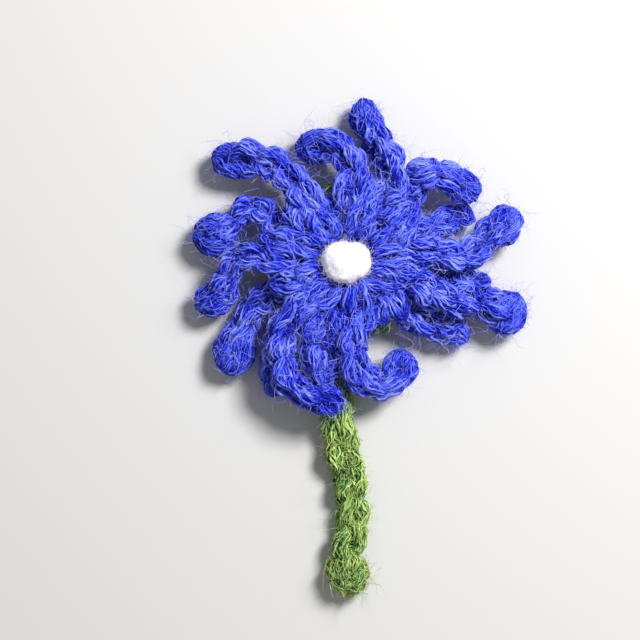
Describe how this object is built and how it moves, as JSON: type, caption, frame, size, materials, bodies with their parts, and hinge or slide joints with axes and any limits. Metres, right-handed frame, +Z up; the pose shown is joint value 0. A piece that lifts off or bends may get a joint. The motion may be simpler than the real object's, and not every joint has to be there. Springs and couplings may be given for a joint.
{
  "type": "crocheted chicory flower",
  "caption": "Crocheted blue-violet chicory flower with curled finger petals, a white felt centre, a green backing and a short green stem.",
  "frame": {"origin": "centre of the calyx's flat underside, on the surface that the flower lies on", "axes": "+Z up, out of the flower's face; +Y from the stem through the head; +X to the right, looking down with the stem nearest"},
  "size_m": [0.0524, 0.0767, 0.0113],
  "materials": {
    "petal_yarn": "fuzzy blue-violet wool yarn",
    "stem_yarn": "heathered green wool yarn",
    "centre_wool": "matte white needle-felted wool"
  },
  "bodies": {
    "root": {"calyx": "stem_yarn", "rosette": "petal_yarn", "felt_centre": "centre_wool", "petal_01": "petal_yarn", "petal_02": "petal_yarn", "petal_03": "petal_yarn", "petal_04": "petal_yarn", "petal_05": "petal_yarn", "petal_06": "petal_yarn", "petal_07": "petal_yarn", "petal_08": "petal_yarn", "petal_09": "petal_yarn", "petal_10": "petal_yarn", "petal_11": "petal_yarn", "petal_12": "petal_yarn", "petal_13": "petal_yarn", "petal_14": "petal_yarn", "petal_15": "petal_yarn", "petal_16": "petal_yarn", "stem": "stem_yarn", "stem_end_knob": "stem_yarn"}
  },
  "joints": []
}
